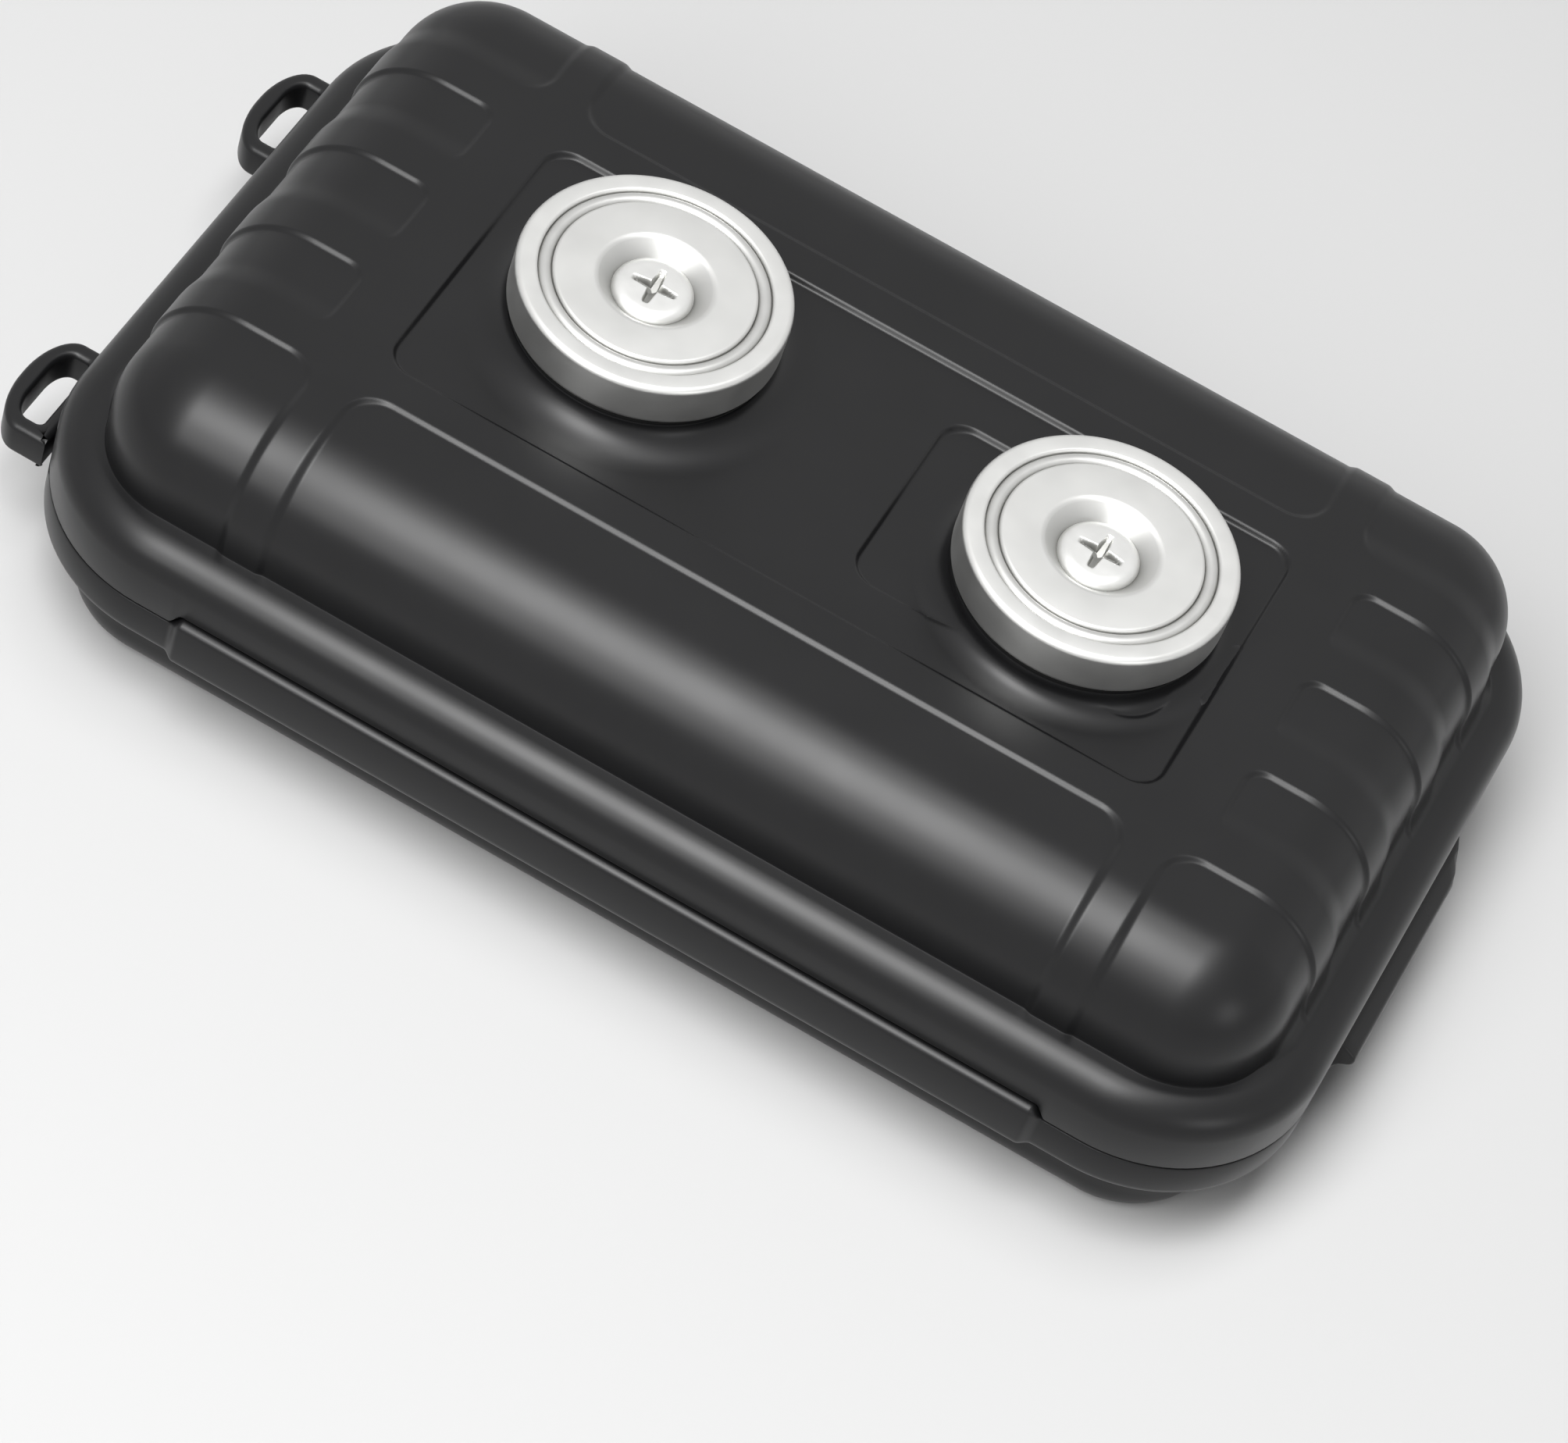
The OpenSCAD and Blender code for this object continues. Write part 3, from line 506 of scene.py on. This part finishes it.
def lid_moulding():
    """Outside and inside of the lid: a flat top with relief, the rolled edge, the wall, the flange
    with its rounded edge, the rim with the gasket's ridge, and the inner wall and roof."""
    x_lines, y_lines = lid_grid()
    ring = case_ring(x_lines, y_lines, 22)
    b = np.radians(np.linspace(5, 90, 10))
    flange_r = FLANGE_R - FLANGE_EDGE_R * (1 - np.sin(b))
    flange = swept(ring, FLANGE_CORNER, flange_r, FLANGE_TOP - FLANGE_EDGE_R * (1 - np.cos(b)))
    inner_r = TOP_EDGE_R - WALL
    ridge_r = [8.55, 8.55, 7.85, 7.85, 7.05, CAVITY_R]
    ridge_z = [SEAM, 13.45, 13.45, SEAM, SEAM, 14.15]
    c = np.radians(np.linspace(0, 90, 8))
    r = np.concatenate([ridge_r, CAVITY_R - inner_r * (1 - np.cos(c))])
    z = np.concatenate([ridge_z, LID_TOP - WALL - inner_r * (1 - np.sin(c))])
    inside = swept(ring, CORNER, r, z)
    gx, gy = np.meshgrid(x_lines, y_lines, indexing="ij")
    top = np.stack([gx, gy, LID_TOP - relief_depth(gx, gy)], -1)
    shell = np.concatenate([lid_body(ring), flange, lid_rim(ring), inside])
    return [surface(top), surface(shell, False, True, (-1,))]


def boss(centre, floor, foot):
    """Standoff under a magnet, turned about its axis: a pillar whose foot flares out to the floor
    along a quarter of an ellipse, from the pillar's side to the given radius. Towards its foot it
    takes on the steps of the lid's panels round it."""
    a = np.radians(np.linspace(0, 90, 25))
    top, pillar, rise = 35.3, 12.2, 2.1
    edge = np.array([[0, top], [pillar - 0.3, top], [pillar - 0.08, top - 0.08], [pillar, top - 0.3]])
    flare = np.stack([foot - (foot - pillar) * np.cos(a), floor + rise * (1 - np.sin(a))], 1)
    under = np.array([[foot + 0.05, floor - 0.3], [0, floor - 0.3]])
    profile = np.concatenate([edge, flare, under])
    points, faces, caps = revolved(profile, 288, centre, closed=False)
    x, y, z = points.T
    share = ((floor + rise - z) / rise).clip(0, 1) ** 2
    points[:, 2] += (LID_TOP - relief_depth(x, y) - floor) * share
    return points, faces, caps


def tongue():
    """Tongue behind the latch lever, with the barb that the hook holds down."""
    corners = [
        (59.2, 11.0), (60.4, 11.0), (61.0, 11.3), (61.0, 11.8), (60.4, 11.8), (60.4, 14.9),
        (59.2, 14.9),
    ]
    half, edge = 11, 0.12
    return extruded(rounded(corners, edge), -half, half, edge)


piece("lid_moulding", lid_moulding(), abs_moulded, "lid", ["lid_shell"])
left_boss = boss(MAGNETS["left"], LID_TOP - PANEL_STEP, 16.0)
piece("left_magnet_boss", [left_boss], abs_moulded, "lid")
right_boss = boss(MAGNETS["right"], LID_TOP - 2 * PANEL_STEP, 14.9)
piece("right_magnet_boss", [right_boss], abs_moulded, "lid")
piece("lid_latch_tongue", [tongue()], abs_moulded, "lid")

# ---- base ----


def base_moulding():
    """Outside and inside of the base: bottom, rounded edge, wall, flange with the side rails, rim
    with the gasket's groove, inner wall and floor. The flange is cut down at the hinge end, and
    away behind the latch."""
    x_spans = [(43.5, 45.0, 0.14), (-45.0, -43.5, 0.14)]  # at the slopes of the rails
    y_spans = [(15.6, 16.0, 0.1), (-16.0, -15.6, 0.1)]  # at the ends of the cut behind the latch
    ring = case_ring(
        fine_lines(-CORNER[0], CORNER[0], x_spans, 4.0),
        fine_lines(-CORNER[1], CORNER[1], y_spans, 3.0),
        30,
    )
    x = ring[:, 0] * FLANGE_CORNER[0]
    y = ring[:, 1] * FLANGE_CORNER[1]
    rail = (np.abs(ring[:, 3]) == 1) * ramp(np.abs(x) - RAIL_END, RAIL_SLOPE)
    notch = (ring[:, 2] == 1) * (np.abs(y) < LUG[0])
    # The hinge end and 27 degrees of its corners, where the lid's edge swings down
    swing = ring[:, 2] < -math.cos(math.radians(28.5))

    a = np.radians(np.linspace(0, 90, 13))
    bottom_r = BODY_R - BOTTOM_EDGE_R
    fillet_r = [BODY_R, BODY_R + 0.06, BODY_R + 0.2]
    fillet_z = [9.1, 9.35, BASE_FLANGE]
    r = np.concatenate([[bottom_r - 0.5], bottom_r + BOTTOM_EDGE_R * np.sin(a), fillet_r])
    z = np.concatenate([[0], BOTTOM_EDGE_R * (1 - np.cos(a)), fillet_z])
    body = swept(ring, CORNER, either(notch, r.clip(None, BODY_R), r), z)

    b = np.radians(np.linspace(0, 90, 6))
    start_r, edge_r, rail_side_r, notch_r = 12.6, 1.2, 16.25, 11.06
    across = edge_r * (1 - np.sin(b))
    rim_r = [15.5, 15.43, 15.25, 15.0, 14.9, 14.8, 14.7]
    rail_rim_r = [16.25, 16.17, 15.9, 15.45, 14.85, 14.77, 14.7]
    r = np.concatenate([[start_r], FLANGE_R - across, rim_r])
    rail_r = np.concatenate([[start_r], rail_side_r - across, rail_rim_r])
    low_z = np.concatenate([[BASE_FLANGE], BASE_FLANGE + edge_r * (1 - np.cos(b))])
    z = np.concatenate([low_z, [13.65, 13.83] + [RIM] * 5])
    rail_z = np.concatenate([low_z, [14.6, 14.88, 15.12, 15.2, 15.2, 14.95, RIM]])
    r = either(rail, rail_r, r)
    z = either(rail, rail_z, z)
    r = np.where(notch[None], np.minimum(r, notch_r), r)
    z = np.where(swing[None], np.minimum(z, HINGE_RELIEF), z)
    flange = swept(ring, FLANGE_CORNER, r, z)

    c = np.radians(np.linspace(0, 90, 8))
    inner_r = BOTTOM_EDGE_R - WALL
    groove_r = [9.53, 9.47, 8.9, 8.9, 7.5, 7.5, 7.05, CAVITY_R]
    groove_z = [RIM, RIM, RIM, 12.4, 12.4, RIM, RIM, 13.75]
    r = np.concatenate([groove_r, CAVITY_R - inner_r * (1 - np.cos(c))])
    z = np.concatenate([groove_z, WALL + inner_r * (1 - np.sin(c))])
    z = either(swing, np.concatenate([[HINGE_RELIEF], z[1:]]), z)
    inside = swept(ring, CORNER, r, z)
    return [surface(np.concatenate([body, flange, inside]), False, True, (0, -1))]


def base_knuckle(y0, y1):
    """Base knuckle: a barrel on the hinge axis, on a stem that stands on the flange."""
    a = np.radians(np.linspace(0, 270, 34))
    barrel = np.stack([HINGE[0] + KNUCKLE_R * np.cos(a), HINGE[1] + KNUCKLE_R * np.sin(a)], 1)
    stem = np.array([[HINGE[0], 11.6], [-58.1, 11.6], [-58.1, 13.85], [-58.8, 13.85]])
    return extruded(np.concatenate([barrel, stem]), y0, y1, 0.2)


def lug(y0, y1):
    """Lug that holds the latch pin: a round end on a block under the flange."""
    a = np.radians(np.linspace(-90, 0, 12))
    end_r, top, back = 1.7, 10.4, 57.6
    end = np.stack([LATCH[0] + end_r * np.cos(a), LATCH[1] + end_r * np.sin(a)], 1)
    block = np.array([[LATCH[0] + end_r, top], [back, top], [back, LATCH[1] - end_r]])
    return extruded(np.concatenate([end, block]), y0, y1, 0.25)


def loop(middle):
    """Lanyard loop: a round-cornered bar carried round a D-shaped eye. Its section lies between the
    eye and the outline, and its upper and lower edges are rounded."""
    root, tip, half = -62.42, -68.5, 6.1
    corners = [(root, half), (root, -half), (tip, -half), (tip, half)]
    outer = rounded(corners, [0.05, 0.05, 5.8, 5.8], 14)
    root, tip, half = -63.85, -66.75, 4.35
    corners = [(root, half), (root, -half), (tip, -half), (tip, half)]
    inner = rounded(corners, [0.6, 0.6, 2.8, 2.8], 14)
    low, high, edge = 10.4, 13.9, 0.55
    a = np.radians(np.linspace(0, 90, 5))
    pull, rise = edge * (1 - np.cos(a)), edge * (1 - np.sin(a))
    p = np.concatenate([pull[::-1], pull])
    z = np.concatenate([low + rise[::-1], high - rise])

    def wall(line, side, p, z):
        """The line pulled in against its side normals by p, at each height z."""
        flat = line[None] - side[None] * p[:, None, None]
        return np.concatenate([flat, np.broadcast_to(z[:, None, None], flat.shape[:2] + (1,))], -1)

    outside = wall(outer, outward(outer), p, z)
    eye = wall(inner, -outward(inner), p[::-1], z[::-1])
    points = np.concatenate([outside, eye])
    points[..., 1] += middle
    return surface(points, True, True)


piece("base_moulding", base_moulding(), abs_moulded, "base", ["base_shell"])
knuckles = [base_knuckle(start, end) for start, end in KNUCKLES]
piece("base_hinge_knuckles", knuckles, abs_moulded, "base")
lugs = [lug(LUG[0], LUG[1]), lug(-LUG[1], -LUG[0])]
piece("base_latch_lugs", lugs, abs_moulded, "base")
piece("lanyard_loop_far", [loop(21)], abs_moulded, "base")
piece("lanyard_loop_near", [loop(-21)], abs_moulded, "base")

# ---- latch ----


def lever():
    """Latch lever: its section carried along the case end, with the far end of its finger lip
    sloped back in plan: beyond slope_y the lip reaches no further than tip - fall * (y - slope_y)."""
    half, tip, lip_z, slope_y, fall = 14, 64.2, 10.8, 9.4, 0.37
    corners = [
        (62.4, 8.6), (62.7, lip_z), (tip, 11.8), (tip, 12.8), (62.7, 13.7), (61.3, 13.7),
        (60.65, 12.65), (60.65, 11.95), (61.3, 11.95), (61.3, lip_z), (59.1, 9.2), (59.0, 8.0),
        (59.8, 7.0), (61.6, 7.0),
    ]
    radii = [0.8, 1.0, 0.45, 0.45, 0.4, 0.35, 0.2, 0.12, 0.12, 0.6, 0.7, 0.9, 0.9, 0.9]
    points, faces, caps = extruded(rounded(corners, radii), -half, half, 0.25, 24)
    x, y, z = points.T
    reach = tip - fall * (y - slope_y).clip(0)
    points[:, 0] = np.where(z > lip_z, np.minimum(x, reach), x)
    return points, faces, caps


piece("latch_flap", [lever()], acetal_moulded, "latch", ["latch_lever"])

# ---- magnets ----

ROUND = 160  # points round a cup, a filler ring or a magnet


def cup(side):
    """Drawn cup: a floor and a wall, with rounded edges."""
    corners = [
        (BORE_R, 0), (CUP_R, 0), (CUP_R, CUP_H), (CUP_INNER_R, CUP_H), (CUP_INNER_R, CUP_FLOOR),
        (BORE_R, CUP_FLOOR),
    ]
    profile = rounded(corners, [0.05, 0.6, 0.55, 0.3, 0.05, 0.05], 8)
    return revolved(profile, ROUND, MAGNETS[side], CUP_BOTTOM)


def filler(side):
    """Ring between cup and magnet, its top rounded over so that a groove lies on each side of it."""
    inner, outer, top = MAGNET_R + 0.02, CUP_INNER_R - 0.02, CUP_H - 0.05
    corners = [(inner, CUP_FLOOR), (outer, CUP_FLOOR), (outer, top), (inner, top)]
    profile = rounded(corners, [0.05, 0.05, 0.58, 0.58], 10)
    return revolved(profile, ROUND, MAGNETS[side], CUP_BOTTOM)


def magnet(side):
    """Countersunk ring, its outer edge and the edge of its countersink rounded."""
    corners = [
        (BORE_R, CUP_FLOOR), (MAGNET_R, CUP_FLOOR), (MAGNET_R, CUP_H), (5.3, CUP_H), (BORE_R, 1.4),
    ]
    profile = rounded(corners, [0.05, 0.05, 0.3, 0.35, 0.05], 8)
    return revolved(profile, ROUND, MAGNETS[side], CUP_BOTTOM)


def countersunk(side):
    """Share of the painted shade: 1 in the countersink and the bore, 0 on the face and outside."""
    def share(points):
        r = np.hypot(*(points[:, :2] - MAGNETS[side]).T)
        return 1 - ramp(4.9 - r, 0.5)
    return share


def cross(px, py):
    """Share of the cross recess, 0 to 1: its arms lie along both axes and taper outwards."""
    across = np.minimum(np.abs(px), np.abs(py))
    along = np.maximum(np.abs(px), np.abs(py))
    half, taper, reach = 0.46, 0.1, 2.0
    return ramp(across - half + taper * along, 0.22) * ramp(along - reach, 0.5)


def recessed(side, turn):
    """Share of the painted shade on a screw: 1 in the cross recess."""
    def share(points):
        t = math.radians(turn)
        x, y = (points[:, :2] - MAGNETS[side]).T
        return cross(x * math.cos(t) + y * math.sin(t), y * math.cos(t) - x * math.sin(t))
    return share


def screw(side, turn):
    """Raised countersunk screw, turned by the given degrees. Its head is a polar grid: a crown of
    height crown * (1 - (r / head_r)^2), a rim that is part of an ellipse, and a cross sunk in it
    whose arms get shallower outwards. Then come the cone, the shank and its chamfered tip."""
    seat, rise, crown, head_r, rim = 2.945, 0.65, 0.16, 3.725, 0.9
    rim_r = head_r - rim * (1 - np.sin(np.radians(np.linspace(15, 90, 8))))
    r = np.concatenate([np.linspace(0, 2.7, 34), rim_r])
    shoulder = np.sqrt(1 - ((r - head_r + rim).clip(0) / rim) ** 2)
    z = seat + rise * shoulder + crown * (1 - (r / head_r) ** 2)
    tail_r = np.array([3.7, 2.0, 2.0, 1.7, 0])
    tail_z = seat - np.array([0.3, 2.0, 13.7, 14, 14])
    a = np.linspace(0, 2 * math.pi, 144, endpoint=False)[None, :]
    rr = np.concatenate([r, tail_r])[:, None]
    zz = np.concatenate([z, tail_z])[:, None] + 0 * a
    px, py = rr * np.cos(a), rr * np.sin(a)
    deep = (1 - np.maximum(np.abs(px), np.abs(py)) / 3.4).clip(0)
    zz[:len(r)] -= (cross(px, py) * deep)[:len(r)]
    t = math.radians(turn)
    x = MAGNETS[side][0] + px * math.cos(t) - py * math.sin(t)
    y = MAGNETS[side][1] + px * math.sin(t) + py * math.cos(t)
    return surface(np.stack([x, y, CUP_BOTTOM + zz], -1), False, True)


for side, turn in (("left", 3), ("right", -2)):
    node = f"{side}_magnet_cup"
    piece(f"{side}_cup_drawn", [cup(side)], cup_nickel, "lid", [node])
    node = f"{side}_filler_ring"
    piece(f"{side}_filler_pressed", [filler(side)], filler_nickel, "lid", [node])
    node = f"{side}_magnet_ring"
    # The countersink and the bore are painted darker, as shade in the recess
    piece(f"{side}_magnet_sintered", [magnet(side)], magnet_nickel, "lid", [node],
          painted_recess_shade=countersunk(side))
    # The screw's cross recess is painted darker, as shade in the recess
    node = f"{side}_screw"
    piece(f"{side}_screw_headed", [screw(side, turn)], screw_nickel, "lid", [node],
          painted_recess_shade=recessed(side, turn))

# ---- CAD nodes that stay ----

kept = (
    (rubber_moulded, ("rim_gasket", "left_rubber_pad", "right_rubber_pad")),
    (zinc_steel, ("hinge_pin", "latch_pin", "left_washer", "right_washer", "left_nut", "right_nut")),
)
for material, names in kept:
    for name in names:
        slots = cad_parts[name].data.materials
        slots.clear()
        slots.append(material)

# ---- floor, world, lamps, camera ----


def visible_white(tree):
    """1 for rays from the camera and for rays that metal and glass reflect or pass, else 0."""
    path = add(tree, "ShaderNodeLightPath", {}).outputs
    pair = add(tree, "ShaderNodeMath", {
        0: path["Is Camera Ray"], 1: path["Is Glossy Ray"],
    }, operation="MAXIMUM")
    both = add(tree, "ShaderNodeMath", {
        0: pair.outputs[0], 1: path["Is Transmission Ray"],
    }, operation="MAXIMUM")
    return both.outputs[0]


floor_paper = bpy.data.materials.new("paper_white_backdrop")
floor_paper.use_nodes = True
tree = floor_paper.node_tree
tree.nodes.clear()
paper = add(tree, "ShaderNodeBsdfPrincipled", {
    "Base Color": srgb("#c8c8c8"), "Roughness": 0.9, "Specular IOR Level": 0.0,
})
add(tree, "ShaderNodeOutputMaterial", {"Surface": paper.outputs["BSDF"]})
floor_mesh = bpy.data.meshes.new("floor")
FLOOR = 6.0  # half its side, in metres
floor_corners = [(-FLOOR, -FLOOR, 0), (FLOOR, -FLOOR, 0), (FLOOR, FLOOR, 0), (-FLOOR, FLOOR, 0)]
floor_mesh.from_pydata(floor_corners, [], [(0, 1, 2, 3)])
floor_mesh.materials.append(floor_paper)
floor = bpy.data.objects.new("floor", floor_mesh)
bpy.context.scene.collection.objects.link(floor)

# The world looks near white to the camera and in reflections, and otherwise gives a dim fill
world = bpy.data.worlds.new("studio")
bpy.context.scene.world = world
world.use_nodes = True
tree = world.node_tree
tree.nodes.clear()
level = add(tree, "ShaderNodeMapRange", {
    "Value": visible_white(tree), "To Min": 0.12, "To Max": 0.9,
})
sky = add(tree, "ShaderNodeBackground", {
    "Color": srgb("#ffffff"), "Strength": level.outputs["Result"],
})
add(tree, "ShaderNodeOutputWorld", {"Surface": sky.outputs["Background"]})


def softbox(name, towards, size, watts):
    """Oval area lamp in the given direction from the middle of the case, facing it. Metres."""
    middle, distance = Vector((0, 0, 0.02)), 0.9
    lamp = bpy.data.lights.new(name, "AREA")
    lamp.shape = "ELLIPSE"
    lamp.size, lamp.size_y = size
    lamp.energy = watts
    obj = bpy.data.objects.new(name, lamp)
    d = Vector(towards).normalized()
    obj.location = middle + d * distance
    obj.rotation_mode = "QUATERNION"
    obj.rotation_quaternion = d.to_track_quat("Z", "Y")
    bpy.context.scene.collection.objects.link(obj)


# The long lamp draws the light bands along the rolled edge, the key lamp brightens their middle and
# the magnets, and the low one lights the latch end
softbox("long_softbox", (-0.108, -0.43, 0.90), (0.42, 1.8), 11.5)
softbox("key_softbox", (-0.108, -0.42, 0.90), (0.3, 0.6), 4.6)
softbox("low_softbox", (0.78, -0.45, 0.30), (0.3, 0.3), 0.6)

# The photograph's camera, fitted to the magnets, the outline and the ribs; angles in degrees
TARGET = Vector((8.56, -29.14, 33.5)) * MM
AZIMUTH, ELEVATION, ROLL = 9.8, 50.67, 21.84
DISTANCE = 483.1 * MM
FOCAL_PX, PHOTO_WIDTH_PX = 7361.9, 2008

az, el, roll = (math.radians(v) for v in (AZIMUTH, ELEVATION, ROLL))
back = Vector((math.cos(el) * math.sin(az), -math.cos(el) * math.cos(az), math.sin(el)))
level_right = (-back).cross(Vector((0, 0, 1))).normalized()
level_up = level_right.cross(-back)
right = math.cos(roll) * level_right + math.sin(roll) * level_up
up = -math.sin(roll) * level_right + math.cos(roll) * level_up
turned = Matrix((right, up, back)).transposed().to_4x4()
lens = bpy.data.cameras.new("camera")
lens.sensor_width = 36
lens.lens = FOCAL_PX / PHOTO_WIDTH_PX * lens.sensor_width
lens.clip_start, lens.clip_end = 0.05, 20
camera = bpy.data.objects.new("camera", lens)
camera.matrix_world = Matrix.Translation(TARGET + back * DISTANCE) @ turned
bpy.context.scene.collection.objects.link(camera)
bpy.context.scene.camera = camera
bpy.context.scene.view_settings.view_transform = "Standard"
